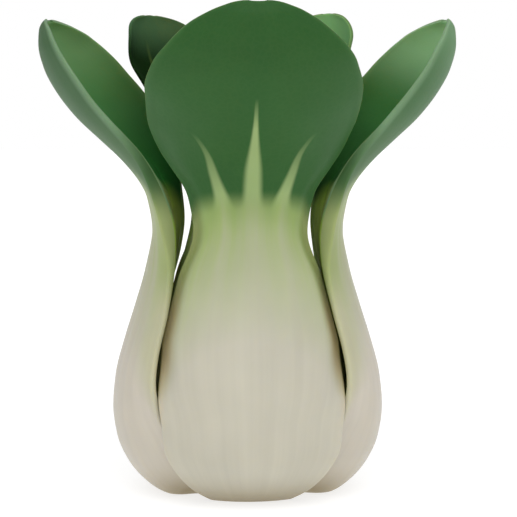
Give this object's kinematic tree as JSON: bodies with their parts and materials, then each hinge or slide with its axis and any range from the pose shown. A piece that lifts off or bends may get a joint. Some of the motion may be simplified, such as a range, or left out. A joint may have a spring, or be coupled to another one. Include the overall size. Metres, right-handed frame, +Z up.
{
  "type": "bok choy",
  "caption": "Baby bok choy standing on its cut stem: thick pale stalks nest into a round bulb, narrow to a neck and open into broad dark green blades.",
  "frame": {"origin": "centre of the stem's flat cut face, which the head stands on", "axes": "+Z up along the head from the cut face to the leaf tips; the broad front leaf faces -Y; +X to its right as seen from the front"},
  "size_m": [0.1342, 0.1339, 0.1535],
  "materials": {
    "outer_leaf": "dark green waxy blade on a cream white stalk that shades to light green at the neck",
    "middle_leaf": "mid green waxy blade on a pale green stalk",
    "heart_leaf": "yellow green young leaf with a cream stalk",
    "core_flesh": "moist cream stem flesh, cut flat underneath"
  },
  "bodies": {
    "root": {"outer_leaf_front": "outer_leaf", "outer_leaf_right": "outer_leaf", "outer_leaf_back": "outer_leaf", "outer_leaf_left": "outer_leaf", "middle_leaf_back_left": "middle_leaf", "middle_leaf_back_right": "middle_leaf", "middle_leaf_front_left": "middle_leaf", "middle_leaf_front_right": "middle_leaf", "inner_leaf_1": "heart_leaf", "inner_leaf_2": "heart_leaf", "inner_leaf_3": "heart_leaf", "inner_leaf_4": "heart_leaf", "heart_leaf_1": "heart_leaf", "heart_leaf_2": "heart_leaf", "heart_leaf_3": "heart_leaf", "bud_leaf_1": "heart_leaf", "bud_leaf_2": "heart_leaf", "core": "core_flesh"}
  },
  "joints": []
}
